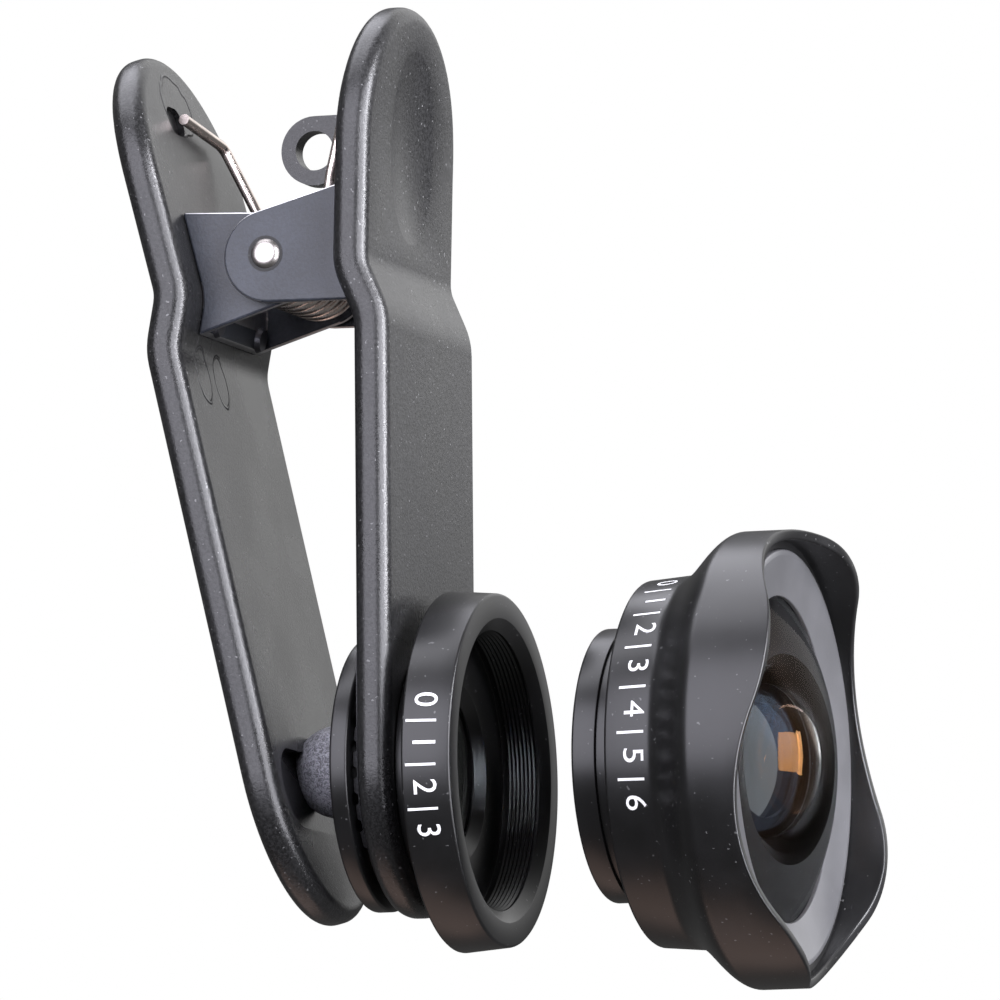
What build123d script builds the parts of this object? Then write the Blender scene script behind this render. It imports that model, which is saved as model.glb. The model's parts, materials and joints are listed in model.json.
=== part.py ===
from build123d import *
from math import cos, radians, sin, sqrt, tan
import os

os.makedirs("parts", exist_ok=True)

# A clip-on lens for a phone: two sprung arms, a macro lens clamped through one of them,
# and a wide-angle lens that screws into the macro lens and is drawn standing off it.
# X runs along the lens axis, away from the phone. Z runs up the arms to their handles.
# The origin is on the lens axis, in the rear face of the clamp flange, where the phone sits.
# The pad arm and its pieces are drawn level with the lens arm, then swung shut about the pin.

# Arms
arm_width = 28.4
arm_thickness = 3.6
arm_edge_radius = 1.5
arm_face = 6.4                 # outer face of the lower stretch
bend_bottom = 44.3             # where the arm starts to lean in
bend_top = 49.3                # where the handle starts
bend_shift = 2.15              # how far the handle stands in from the lower stretch
bend_bottom_radius = 8.0
bend_top_radius = 3.5
handle_lean = 1.6              # degrees
handle_knee = 63.0
tip_lean = 4.5                 # degrees
handle_knee_radius = 120.0
handle_centre = 61.7           # centre of the handle's round end
pad_handle_centre = 61.0
pad_foot_centre = 0.7          # centre of the pad arm's round lower end
dimple_length = 17.4
dimple_width = 13.0
dimple_depth = 0.9
dimple_height = 62.1

# Hinge
pin_x = -7.1
pin_z = 50.7
pin_radius = 1.25
pin_head_radius = 1.5
pin_head_height = 0.45
pin_clearance = 0.05
closed_angle = 12.95           # degrees from arms level to jaws shut
sheet = 0.9
outer_bracket_half = 10.7
bracket_clearance = 1.0
seat_gap = 0.04
ear_radius = 4.35
ear_drop = 4.82                # from the pin to the ear's lower edge
ear_top_slope = 15.5           # degrees
outer_bottom_slope = 0.8       # degrees
inner_bottom_slope = 4.3       # degrees
screw_height = -4.2            # from the pin
screw_spacing = 12.4
screw_radius = 0.9
screw_head_radius = 1.3
screw_head_height = 0.5
screw_head_taper = 25           # degrees
screw_depth = 2.4
screw_clearance = 0.08

# Torsion spring
wire_radius = 0.55
coil_radius = 4.1
coil_half = 6.3
coil_whole_turns = 5
pad_leg_lean = 21.1            # degrees off upright
lens_leg_lean = 10.3
leg_kick = 1.3                 # how much steeper a leg leans past its knee
leg_length = 9.0
leg_upper_length = 7.4
leg_tip_rise = 1.8
leg_tip_run = 9.5
leg_bend_radius = 1.2
tip_pocket_length = 4.4
tip_pocket_height = 3.0
tip_pocket_depth = 1.0

# Lanyard eye
eye_x = -5.2
eye_z = 62.1
eye_hole = 1.97
eye_radius = 3.45
eye_thickness = 2.2
eye_neck_bottom = 0.9
eye_cut_offset = 2.5

# Rubber pad on the pad arm
pad_height = 0.9
pad_radius = 4.6
pad_middle = 2.35              # ball centre above the arm's inner face
pad_front = 4.2                # flat face above the arm's inner face
pad_front_edge = 1.0
pad_shoulder = 2.6             # where the ball's back is measured, behind its centre
recess_length = 23.4
recess_height = 8.1
recess_middle = -0.8
recess_depth = 1.2

# Macro lens and its clamp flange
flange_radius = 13.47
flange_thickness = 1.86
flange_lip = 0.6
flange_opening = 8.8
flange_edge = 0.35
sleeve_radius = 10.5
thread_clearance = 0.1
ring_rear = 8.74
ring_front = 13.64
ring_rear_radius = 17.75
ring_front_radius = 17.34
ring_edge = 0.3
neck_radius = 12.4
mouth_radius = 14.9
mouth_depth = 0.9
socket_radius = 13.75
socket_floor = 8.95
relief_radius = 14.0
relief_depth = 0.7
cell_radius = 8.6
cell_lip_radius = 6.4
cell_rear = 1.2
cell_lip = 1.2
macro_lens_edge = 2.0
macro_lens_sag = 0.8
macro_spacer_length = 1.0
macro_front_lens_sag = 0.4
retainer_length = 1.1
retainer_bevel = 0.9
retainer_bore = 7.5
notch_width = 1.3
notch_depth = 0.45
part_gap = 0.05

# Ribbed rubber liner between the lens arm and the flange
liner_half = 11.6
liner_top = 20.4
liner_sheet = 0.5
rib_pitch = 2.54
rib_width = 1.7

# Wide-angle lens
wide_standoff = 11.0            # how far the wide lens stands off the macro lens
mount_rear = ring_front + wide_standoff
mount_thread = 2.43
mount_radius = 13.4
mount_length = 4.72
groove_radius = 13.0
barrel_rear = mount_rear + mount_length
spigot_radius = 12.0
spigot_length = 1.75
mount_bore = 10.6
mount_lip_radius = 8.8
mount_lip = 1.35
rear_seat = 0.6
rear_retainer_length = 1.0
rear_lens_sag = 0.9
barrel_radius = 17.9
taper_start = barrel_rear + 3.0
taper_end = barrel_rear + 10.0
barrel_waist = 18.25
hood_radius = 22.3
hood_wall = 1.0
hood_length = 17.25             # from the barrel's rear face to the petal tips
petal_high = barrel_rear + hood_length
petal_low = petal_high - 3.1
petal_count = 4
petal_phase = 20.0             # degrees from +Y to the first hollow
petal_tip_round = 13.5
barrel_lip = 0.85
barrel_opening = 9.5
cavity_floor = barrel_rear + 2.7
cavity_radius = 13.6
spacer_bore = 12.0
front_seat = barrel_rear + 8.85
front_bore = 16.7
front_thread_radius = 20.5
front_thread_start = front_seat + 2.4
front_thread_end = front_thread_start + 2.0
glass_radius = 16.6
glass_clear_radius = 15.9
glass_middle = 2.0
dome_radius = 30.0
dome_top = front_seat + 8.1
hollow_radius = 9.3
hollow_top = dome_top - glass_middle
front_ring_outer = 20.4
front_ring_face = front_thread_start + 2.4
front_ring_inner_face = front_ring_face - 0.8
stop_opening = 6.5
stop_thickness = 1.1
middle_lens_edge = 2.8
middle_lens_sag = 1.9

parts = {}


def keep(part, name):
    """Names a finished piece and writes its STEP file."""
    part.label = name
    export_step(part, f"parts/{name}.step")
    parts[name] = part


def arm_corners(depth):
    """Corners of the arm's side line at a depth behind its outer face."""
    handle_x = arm_face - bend_shift
    knee_x = handle_x + (handle_knee - bend_top) * tan(radians(handle_lean))
    tip_z = handle_centre + arm_width
    tip_x = knee_x + (tip_z - handle_knee) * tan(radians(tip_lean))
    line = [
        Vector(arm_face, -arm_width),
        Vector(arm_face, bend_bottom),
        Vector(handle_x, bend_top),
        Vector(knee_x, handle_knee),
        Vector(tip_x, tip_z),
    ]
    runs = [(b - a).normalized() for a, b in zip(line, line[1:])]
    normals = [Vector(-run.Y, run.X) for run in runs]
    moved = [line[0] + normals[0] * depth]
    for corner, before, after in zip(line[1:-1], normals, normals[1:]):
        moved.append(corner + (before + after) * (depth / (1 + before.dot(after))))
    moved.append(line[-1] + normals[-1] * depth)
    return [(p.X, p.Y) for p in moved]


def arm_line(depth):
    """The arm's side line with its bends rounded, as an edge list in the current BuildLine."""
    radii = [bend_bottom_radius - depth, bend_top_radius + depth, handle_knee_radius + depth]
    return FilletPolyline(*arm_corners(depth), radius=[max(r, 0.4) for r in radii])


def side_space(depth, half_width):
    """A block of everything on the phone side of the arm's line at a depth."""
    far = pin_x - arm_width * 2
    corners = arm_corners(depth)
    with BuildPart() as space:
        with BuildSketch(Plane.XZ):
            with BuildLine():
                arm_line(depth)
                Polyline(corners[-1], (far, corners[-1][1]), (far, corners[0][1]), corners[0])
            make_face()
        extrude(amount=half_width, both=True)
    return space.part


def arm_blank(low_centre, top_centre):
    """One arm: a bent slab cut to its round-ended outline, with bull-nosed edges."""
    outer = arm_corners(0)
    inner = arm_corners(arm_thickness)
    with BuildPart() as blank:
        with BuildSketch(Plane.XZ):
            with BuildLine():
                arm_line(0)
                arm_line(arm_thickness)
                Line(outer[0], inner[0])
                Line(outer[-1], inner[-1])
            make_face()
        extrude(amount=arm_width / 2, both=True)
        with BuildSketch(Plane.YZ) as outline:
            with Locations((0, (low_centre + top_centre) / 2)):
                SlotCenterToCenter(top_centre - low_centre, arm_width, rotation=90)
        extrude(amount=arm_width, both=True, mode=Mode.INTERSECT)
        rims = [
            edge for edge in blank.edges()
            if abs(edge.tangent_at(0.5).X) < 0.6
            and not (edge.geom_type == GeomType.LINE and abs(edge.center().Y) < arm_width / 4)
        ]
        fillet(rims, arm_edge_radius)
        # thumb dimple in the outer face of the handle, a bowl that runs out through the face
        side_radius = ((dimple_length / 2) ** 2 + dimple_depth ** 2) / (2 * dimple_depth)
        cross_radius = ((dimple_width / 2) ** 2 + dimple_depth ** 2) / (2 * dimple_depth)
        reach = sqrt(side_radius ** 2 - (side_radius - 2 * dimple_depth) ** 2)
        handle_x = arm_face - bend_shift + (dimple_height - bend_top) * tan(radians(handle_lean))
        lean = radians((handle_lean + tip_lean) / 2)
        lean_plane = Plane(
            origin=(handle_x, 0, dimple_height),
            x_dir=(cos(lean), 0, -sin(lean)),
            z_dir=(0, -1, 0),
        )
        spin_centre = cross_radius - dimple_depth
        with BuildSketch(lean_plane):
            with BuildLine():
                low = (dimple_depth, -reach)
                high = (dimple_depth, reach)
                ThreePointArc(low, (-dimple_depth, 0), high)
                Polyline(high, (spin_centre, reach), (spin_centre, -reach), low)
            make_face()
        spin = Axis(lean_plane.from_local_coords((spin_centre, 0, 0)), lean_plane.y_dir)
        revolve(axis=spin, mode=Mode.SUBTRACT)
    return blank.part


def screw_plane(depth, y):
    """A plane on the sloping stretch of the arm, facing the phone side, at a depth and a width."""
    low, high = [Vector(*p) for p in arm_corners(arm_thickness)[1:3]]
    run = (high - low).normalized()
    share = (pin_z + screw_height - low.Y) / (high.Y - low.Y)
    spot = low + (high - low) * share
    seat = Plane(origin=(spot.X, y, spot.Y), x_dir=(0, 1, 0), z_dir=(-run.Y, 0, run.X))
    return seat.offset(depth - arm_thickness)


screw_sides = (-screw_spacing / 2, screw_spacing / 2)


def bracket(half_width, bottom_slope):
    """A folded sheet channel: a base along the arm and two ears that reach to the pin."""
    top_turn = radians(90 + ear_top_slope)
    low_turn = radians(270 - bottom_slope)
    top = (pin_x + ear_radius * cos(top_turn), pin_z + ear_radius * sin(top_turn))
    low = (pin_x + ear_drop * cos(low_turn), pin_z + ear_drop * sin(low_turn))
    far = arm_face
    top_far = (far, top[1] + (far - top[0]) * tan(radians(ear_top_slope)))
    low_far = (far, low[1] - (far - low[0]) * tan(radians(bottom_slope)))
    with BuildPart() as channel:
        with BuildSketch(Plane.XZ):
            with BuildLine():
                ThreePointArc(top, (pin_x - ear_radius, pin_z), low)
                Polyline(low, low_far, top_far, top)
            make_face()
        extrude(amount=half_width, both=True)
        add(side_space(arm_thickness + seat_gap, arm_width), mode=Mode.INTERSECT)
        add(side_space(arm_thickness + seat_gap + sheet, half_width - sheet), mode=Mode.SUBTRACT)
        with BuildSketch(Plane.XZ):
            with Locations((pin_x, pin_z)):
                Circle(pin_radius + pin_clearance)
        extrude(amount=half_width, both=True, mode=Mode.SUBTRACT)
        for y in screw_sides:
            with BuildSketch(screw_plane(arm_thickness, y)):
                Circle(screw_radius + screw_clearance)
            extrude(amount=sheet * 2, mode=Mode.SUBTRACT)
    return channel.part


def screw_pair():
    """Two self-tapping screws that hold a bracket to its arm."""
    with BuildPart() as screws:
        for y in screw_sides:
            seat = screw_plane(arm_thickness + seat_gap + sheet, y)
            with BuildSketch(seat):
                Circle(screw_radius)
            extrude(amount=-(screw_depth + sheet))
            with BuildSketch(seat):
                Circle(screw_head_radius)
            extrude(amount=screw_head_height, taper=screw_head_taper)
    return screws.part


def screw_holes():
    """Blind holes in the arm for the two screws."""
    with BuildPart() as holes:
        for y in screw_sides:
            with BuildSketch(screw_plane(arm_thickness, y)):
                Circle(screw_radius + screw_clearance / 2)
            extrude(amount=-(screw_depth + sheet / 4))
    return holes.part


def turned(points):
    """A ring or barrel turned about the lens axis from its (x, radius) outline."""
    with BuildPart() as body:
        with BuildSketch(Plane.XZ):
            with BuildLine():
                Polyline(*points, close=True)
            make_face()
        revolve(axis=Axis.X)
    return body.part


def bulge(sag, radius):
    """Radius of the sphere that rises by the sag across a lens of this radius."""
    return (sag ** 2 + radius ** 2) / (2 * sag)


def rise(sag, radius, at):
    """How far a curved lens face stands over its edge plane at a distance from the axis."""
    return sqrt(bulge(sag, radius) ** 2 - at ** 2) - bulge(sag, radius) + sag


def lens(rear, edge, radius, rear_sag, front_sag):
    """A lens with a ground edge, from its rear edge plane forward; a sag of zero is a flat face."""
    front = rear + edge
    with BuildPart() as glass:
        with BuildSketch(Plane.XZ):
            with BuildLine():
                if rear_sag:
                    RadiusArc((rear, radius), (rear - rear_sag, 0), -bulge(rear_sag, radius))
                else:
                    Line((rear, radius), (rear, 0))
                Line((rear, radius), (front, radius))
                if front_sag:
                    RadiusArc((front, radius), (front + front_sag, 0), bulge(front_sag, radius))
                else:
                    Line((front, radius), (front, 0))
                Line((rear - rear_sag, 0), (front + front_sag, 0))
            make_face()
        revolve(axis=Axis.X)
    return glass.part


def notched(ring, face, depth):
    """Cuts two spanner slots across a threaded ring's open face."""
    with BuildPart() as slotted:
        add(ring)
        with BuildSketch(Plane.YZ.offset(face)):
            Rectangle(notch_width, socket_radius * 2)
        extrude(amount=depth, mode=Mode.SUBTRACT)
    return slotted.part


hinge = Axis((pin_x, 0, pin_z), (0, 1, 0))
level = Plane.YZ.offset(pin_x)


def shut(part):
    """Mirrors a piece onto the pad side and swings it to the shut jaw."""
    return part.mirror(level).rotate(hinge, -closed_angle)


# Lens arm with its lens hole and moulded lanyard eye
with BuildPart() as lens_arm:
    add(arm_blank(0, handle_centre))
    with BuildSketch(Plane.YZ):
        Circle(sleeve_radius + thread_clearance)
    extrude(amount=arm_width, mode=Mode.SUBTRACT)
    add(screw_holes(), mode=Mode.SUBTRACT)
    neck_root = arm_face - bend_shift - arm_thickness / 2
    cut_x = eye_x + eye_cut_offset
    with BuildSketch(Plane.XZ):
        with Locations((eye_x, eye_z)):
            Circle(eye_radius)
        with BuildLine():
            Polyline(
                (eye_x, eye_z + eye_radius),
                (neck_root, eye_z + eye_radius),
                (neck_root, eye_z + eye_neck_bottom),
                (cut_x + 0.3, eye_z + eye_neck_bottom),
                (cut_x - 0.7, eye_z - eye_radius * 0.85),
                (eye_x, eye_z - eye_radius),
                close=True,
            )
        make_face()
        with BuildLine():
            Polyline(
                (cut_x + 0.3, eye_z + eye_neck_bottom),
                (cut_x - 0.7, eye_z - eye_radius * 0.85),
                (cut_x - 0.7, eye_z - eye_radius * 1.5),
                (cut_x + eye_radius, eye_z - eye_radius * 1.5),
                (cut_x + eye_radius, eye_z + eye_neck_bottom),
                close=True,
            )
        make_face(mode=Mode.SUBTRACT)
        with Locations((eye_x, eye_z)):
            Circle(eye_hole, mode=Mode.SUBTRACT)
    extrude(amount=eye_thickness / 2, both=True)
keep(lens_arm.part, "lens_arm")

# Torsion spring: an open coil round the pin, with a leg cranked across each handle
coil_turns = coil_whole_turns + (180 - pad_leg_lean - lens_leg_lean) / 360


def leg_points(start, run, lean, side):
    """Corners of one spring leg, from the coil's end to the tip."""
    kick = radians(lean * leg_kick)
    steep = Vector(sin(kick), 0, cos(kick))
    knee = start + run * leg_length
    shoulder = knee + steep * leg_upper_length
    return [start, knee, shoulder, shoulder + steep * leg_tip_rise - Vector(0, side * leg_tip_run, 0)]


with BuildPart() as torsion_spring:
    with BuildLine() as coil:
        Helix(pitch=2 * coil_half / coil_turns, height=2 * coil_half, radius=coil_radius)
    lay = Plane(
        origin=(pin_x, -coil_half, pin_z),
        x_dir=(cos(radians(lens_leg_lean)), 0, -sin(radians(lens_leg_lean))),
        z_dir=(0, 1, 0),
    )
    turns = lay.from_local_coords(coil.line.edges()[0])
    pad_leg = leg_points(turns @ 1, turns % 1, -pad_leg_lean, 1)
    lens_leg = leg_points(turns @ 0, -(turns % 0), lens_leg_lean, -1)
    with BuildLine() as wire:
        add(turns)
        FilletPolyline(*pad_leg, radius=leg_bend_radius)
        FilletPolyline(*lens_leg, radius=leg_bend_radius)
    path = wire.wires()[0]
    with BuildSketch(Plane(origin=path @ 0, z_dir=path % 0)):
        Circle(wire_radius)
    sweep(path=path)
keep(torsion_spring.part, "torsion_spring")

# Where the spring's tip meets the pad arm, in the arm's own level place
tip = Vertex(*pad_leg[-1]).rotate(hinge, closed_angle).center()
pocket_floor = 2 * pin_x - tip.X + wire_radius + tip_pocket_depth

# Pad arm with the recess for its rubber pad and the pocket for the spring's tip
with BuildPart() as pad_arm:
    add(arm_blank(pad_foot_centre, pad_handle_centre))
    add(screw_holes(), mode=Mode.SUBTRACT)
    with BuildSketch(Plane.YZ.offset(arm_face - arm_thickness)):
        with Locations((0, recess_middle)):
            SlotOverall(recess_length, recess_height)
        with Locations((0, pad_height)):
            Circle(sqrt(pad_radius ** 2 - pad_middle ** 2) + part_gap)
    extrude(amount=recess_depth, mode=Mode.SUBTRACT)
    with BuildSketch(Plane.YZ.offset(pocket_floor)):
        with Locations((tip.Y, tip.Z)):
            SlotOverall(tip_pocket_length, tip_pocket_height)
    extrude(amount=-arm_thickness, mode=Mode.SUBTRACT)
keep(shut(pad_arm.part), "pad_arm")

# Hinge
inner_bracket_half = outer_bracket_half - sheet - bracket_clearance
keep(bracket(outer_bracket_half, outer_bottom_slope), "outer_bracket")
keep(shut(bracket(inner_bracket_half, inner_bottom_slope)), "inner_bracket")
keep(screw_pair(), "outer_bracket_screws")
keep(shut(screw_pair()), "inner_bracket_screws")

with BuildPart() as hinge_pin:
    with BuildSketch(Plane.XZ.offset(-outer_bracket_half)):
        with Locations((pin_x, pin_z)):
            Circle(pin_radius)
    extrude(amount=outer_bracket_half * 2)
    for side in (-1, 1):
        with BuildSketch(Plane.XZ.offset(side * outer_bracket_half)):
            with Locations((pin_x, pin_z)):
                Circle(pin_head_radius)
        extrude(amount=side * pin_head_height)
    heads = hinge_pin.faces().sort_by(Axis.Y)
    fillet(heads[0].edges() + heads[-1].edges(), pin_head_height * 0.7)
keep(hinge_pin.part, "hinge_pin")

# Rubber pad: a ball-backed foot seated in the recess, with a flat front for the phone's screen side
with BuildPart() as rubber_pad:
    inner_face = arm_face - arm_thickness
    floor_drop = pad_middle + recess_depth - part_gap
    foot = sqrt(pad_radius ** 2 - floor_drop ** 2)
    front_radius = sqrt(pad_radius ** 2 - (pad_front - pad_middle) ** 2)
    with BuildSketch(Plane.XZ):
        with BuildLine():
            middle = inner_face - pad_middle
            back = (inner_face + recess_depth - part_gap, pad_height + foot)
            shoulder = (middle + pad_shoulder, pad_height + sqrt(pad_radius ** 2 - pad_shoulder ** 2))
            front = (inner_face - pad_front, pad_height + front_radius)
            ThreePointArc(back, shoulder, front)
            Polyline(front, (front[0], pad_height), (back[0], pad_height), back)
        make_face()
    revolve(axis=Axis((0, 0, pad_height), (1, 0, 0)))
    fillet(rubber_pad.faces().sort_by(Axis.X)[0].edges(), pad_front_edge)
keep(shut(rubber_pad.part), "rubber_pad")

# Ribbed liner: a rubber sheet with flat-topped ribs across it, round the lens hole
with BuildPart() as grip_liner:
    inner_face = arm_face - arm_thickness
    liner_length = liner_top + liner_half
    with BuildSketch(Plane.YZ.offset(inner_face - seat_gap)) as sheet_outline:
        with Locations((0, liner_top - liner_length / 2)):
            SlotOverall(liner_length, 2 * liner_half, rotation=90)
        Circle(sleeve_radius + thread_clearance, mode=Mode.SUBTRACT)
    extrude(amount=-liner_sheet)
    rib_base = inner_face - seat_gap - liner_sheet
    rib_top = flange_thickness + part_gap
    rib_count = int((liner_length - rib_width) / rib_pitch)
    with BuildPart(mode=Mode.PRIVATE) as ribs:
        for row in range(rib_count):
            height = liner_top - rib_width / 2 - (row + 0.5) * rib_pitch
            with BuildSketch(Plane.XZ):
                with Locations((rib_base, height)):
                    Trapezoid(rib_width, rib_base - rib_top, 60, rotation=90, align=(Align.CENTER, Align.MIN))
            extrude(amount=liner_half, both=True)
        with BuildSketch(Plane.YZ.offset(rib_base)):
            add(sheet_outline.sketch)
        extrude(amount=-(rib_base - rib_top), mode=Mode.INTERSECT)
    add(ribs.part)
keep(grip_liner.part, "grip_liner")

# Clamp flange: the threaded disc on the phone side that pulls the macro lens against the arm
clamp_flange = turned(
    [
        (0, flange_opening),
        (0, flange_radius - flange_edge),
        (flange_edge, flange_radius),
        (flange_thickness - flange_edge, flange_radius),
        (flange_thickness, flange_radius - flange_edge),
        (flange_thickness, sleeve_radius + thread_clearance),
        (flange_lip, sleeve_radius + thread_clearance),
        (flange_lip, flange_opening),
    ]
)
keep(clamp_flange, "clamp_flange")

# Macro lens barrel: threaded sleeve, neck, outer ring and the socket for the wide lens
macro_barrel = turned(
    [
        (flange_lip + part_gap, cell_lip_radius),
        (flange_lip + part_gap, sleeve_radius),
        (arm_face + part_gap, sleeve_radius),
        (arm_face + part_gap, neck_radius),
        (ring_rear, neck_radius),
        (ring_rear, ring_rear_radius - ring_edge),
        (ring_rear + ring_edge, ring_rear_radius),
        (ring_front - ring_edge, ring_front_radius),
        (ring_front, ring_front_radius - ring_edge),
        (ring_front, mouth_radius),
        (ring_front - mouth_depth, socket_radius),
        (socket_floor + relief_depth, socket_radius),
        (socket_floor + relief_depth, relief_radius),
        (socket_floor, relief_radius),
        (socket_floor, cell_radius),
        (cell_rear + cell_lip, cell_radius),
        (cell_rear + cell_lip, cell_lip_radius),
    ]
)
keep(macro_barrel, "macro_barrel")

# Macro lens train, from its rear lip forward
macro_lens_radius = cell_radius - part_gap
rear_edge = cell_rear + cell_lip + part_gap
keep(lens(rear_edge, macro_lens_edge, macro_lens_radius, 0, macro_lens_sag), "macro_rear_lens")

spacer_rear = rear_edge + macro_lens_edge + rise(macro_lens_sag, macro_lens_radius, cell_lip_radius) + part_gap
spacer_front = spacer_rear + macro_spacer_length
macro_spacer = turned(
    [
        (spacer_rear, cell_lip_radius),
        (spacer_rear, macro_lens_radius),
        (spacer_front, macro_lens_radius),
        (spacer_front, cell_lip_radius),
    ]
)
keep(macro_spacer, "macro_spacer")

front_edge = spacer_front + rise(macro_front_lens_sag, macro_lens_radius, cell_lip_radius) + part_gap
retainer_rear = socket_floor - retainer_length
front_rim = retainer_rear - rise(macro_lens_sag, macro_lens_radius, retainer_bore) - part_gap
macro_front_lens = lens(
    front_edge, front_rim - front_edge, macro_lens_radius, macro_front_lens_sag, macro_lens_sag
)
keep(macro_front_lens, "macro_front_lens")

macro_retainer = turned(
    [
        (retainer_rear, retainer_bore),
        (retainer_rear, macro_lens_radius),
        (socket_floor, macro_lens_radius),
        (socket_floor - retainer_bevel, retainer_bore),
    ]
)
keep(notched(macro_retainer, socket_floor, -notch_depth), "macro_retainer")

# Wide lens mount: the male thread that screws into the macro lens, and the spigot behind the barrel
wide_mount = turned(
    [
        (mount_rear, mount_bore),
        (mount_rear, mount_radius - flange_edge),
        (mount_rear + flange_edge, mount_radius),
        (mount_rear + mount_thread, mount_radius),
        (mount_rear + mount_thread, groove_radius),
        (barrel_rear - part_gap, groove_radius),
        (barrel_rear - part_gap, spigot_radius),
        (barrel_rear + spigot_length, spigot_radius),
        (barrel_rear + spigot_length, mount_lip_radius),
        (barrel_rear + spigot_length - mount_lip, mount_lip_radius),
        (barrel_rear + spigot_length - mount_lip, mount_bore),
    ]
)
keep(wide_mount, "wide_mount")

retainer_start = mount_rear + rear_seat
retainer_end = retainer_start + rear_retainer_length
wide_rear_retainer = turned(
    [
        (retainer_start, mount_lip_radius),
        (retainer_start, mount_bore - part_gap),
        (retainer_end, mount_bore - part_gap),
        (retainer_end, mount_lip_radius),
    ]
)
keep(notched(wide_rear_retainer, retainer_start, notch_depth), "wide_rear_retainer")

rear_lens_radius = mount_bore - part_gap
rear_lens_edge = retainer_end + rise(rear_lens_sag, rear_lens_radius, mount_lip_radius) + part_gap
rear_lens_seat = barrel_rear + spigot_length - mount_lip - part_gap
keep(lens(rear_lens_edge, rear_lens_seat - rear_lens_edge, rear_lens_radius, rear_lens_sag, 0), "wide_rear_lens")

# Wide lens barrel: it flares into a hood whose rim is cut to four petals
with BuildPart() as wide_barrel:
    with BuildSketch(Plane.XZ):
        with BuildLine():
            floor = cavity_floor - barrel_lip
            hood_end = petal_high + hood_wall
            waist = ((taper_start + taper_end) / 2, (barrel_waist + hood_radius) / 2)
            Polyline(
                (hood_end, hood_radius),
                (hood_end, hood_radius - hood_wall),
                (front_thread_end, hood_radius - hood_wall),
                (front_thread_end, front_thread_radius),
                (front_thread_start, front_thread_radius),
                (front_thread_start, front_bore),
                (front_seat, front_bore),
                (front_seat, cavity_radius),
                (cavity_floor, cavity_radius),
                (cavity_floor, barrel_opening),
                (floor, barrel_opening),
                (floor, spigot_radius + part_gap),
                (barrel_rear, spigot_radius + part_gap),
                (barrel_rear, barrel_radius - ring_edge),
                (barrel_rear + ring_edge, barrel_radius),
                (taper_start, barrel_waist),
            )
            lower = TangentArc((taper_start, barrel_waist), waist, tangent=(1, 0))
            TangentArc(waist, (taper_end, hood_radius), tangent=lower % 1)
            Line((taper_end, hood_radius), (hood_end, hood_radius))
        make_face()
    revolve(axis=Axis.X)
    half_petal = hood_radius * sin(radians(180 / petal_count))
    petal_drop = petal_high - petal_low
    petal_round = (half_petal ** 2 + petal_drop ** 2) / (2 * petal_drop) - petal_tip_round
    share = petal_round / (petal_round + petal_tip_round)
    turn_in = (petal_low + petal_drop * share, half_petal * share)
    for turn in range(petal_count):
        bearing = radians(petal_phase + turn * 360 / petal_count)
        with BuildSketch(Plane(origin=(0, 0, 0), x_dir=(1, 0, 0), z_dir=(0, cos(bearing), sin(bearing)))):
            with BuildLine():
                hollow = ThreePointArc((turn_in[0], -turn_in[1]), (petal_low, 0), turn_in)
                TangentArc(turn_in, (petal_high, half_petal), tangent=hollow % 1)
                TangentArc((turn_in[0], -turn_in[1]), (petal_high, -half_petal), tangent=-(hollow % 0))
                Polyline(
                    (petal_high, half_petal),
                    (petal_high, half_petal + hood_wall),
                    (hood_end, half_petal + hood_wall),
                    (hood_end, -half_petal - hood_wall),
                    (petal_high, -half_petal - hood_wall),
                    (petal_high, -half_petal),
                )
            make_face()
        extrude(amount=hood_radius * 2, mode=Mode.SUBTRACT)
keep(wide_barrel.part, "wide_barrel")

# Wide lens train, from the barrel's lip forward
stop_rear = cavity_floor + part_gap
train_radius = cavity_radius - 4 * part_gap
light_stop = turned(
    [
        (stop_rear, stop_opening),
        (stop_rear, train_radius),
        (stop_rear + stop_thickness, train_radius),
        (stop_rear + stop_thickness, stop_opening),
    ]
)
keep(light_stop, "light_stop")

middle_rear = stop_rear + stop_thickness + part_gap
keep(lens(middle_rear, middle_lens_edge, train_radius, 0, middle_lens_sag), "wide_middle_lens")

wide_spacer_rear = middle_rear + middle_lens_edge + rise(middle_lens_sag, train_radius, spacer_bore) + part_gap
wide_spacer = turned(
    [
        (wide_spacer_rear, spacer_bore),
        (wide_spacer_rear, train_radius),
        (front_seat - part_gap, train_radius),
        (front_seat - part_gap, spacer_bore),
    ]
)
keep(wide_spacer, "wide_spacer")

# Front lens: a deep dome with a hollow back and a flat rim under the front ring
with BuildPart() as wide_front_lens:
    glass_rear = front_seat + part_gap
    with BuildSketch(Plane.XZ):
        with BuildLine():
            dome_edge = dome_top - dome_radius + sqrt(dome_radius ** 2 - glass_clear_radius ** 2)
            hollow_edge = sqrt(hollow_radius ** 2 - (glass_rear - hollow_top + hollow_radius) ** 2)
            RadiusArc((dome_edge, glass_clear_radius), (dome_top, 0), dome_radius)
            Polyline(
                (dome_edge, glass_clear_radius),
                (dome_edge, glass_radius),
                (glass_rear, glass_radius),
                (glass_rear, hollow_edge),
            )
            RadiusArc((glass_rear, hollow_edge), (hollow_top, 0), hollow_radius)
            Line((hollow_top, 0), (dome_top, 0))
        make_face()
    revolve(axis=Axis.X)
keep(wide_front_lens.part, "wide_front_lens")

# Front ring: the bevelled threaded ring that holds the front lens
wide_front_ring = turned(
    [
        (front_thread_start + part_gap, front_bore),
        (front_thread_start + part_gap, front_ring_outer),
        (front_ring_face, front_ring_outer),
        (front_ring_inner_face, glass_clear_radius),
        (dome_edge + part_gap, glass_clear_radius),
        (dome_edge + part_gap, front_bore),
    ]
)
keep(wide_front_ring, "wide_front_ring")
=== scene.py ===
import json
import math

import bpy
from mathutils import Matrix, Vector


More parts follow.
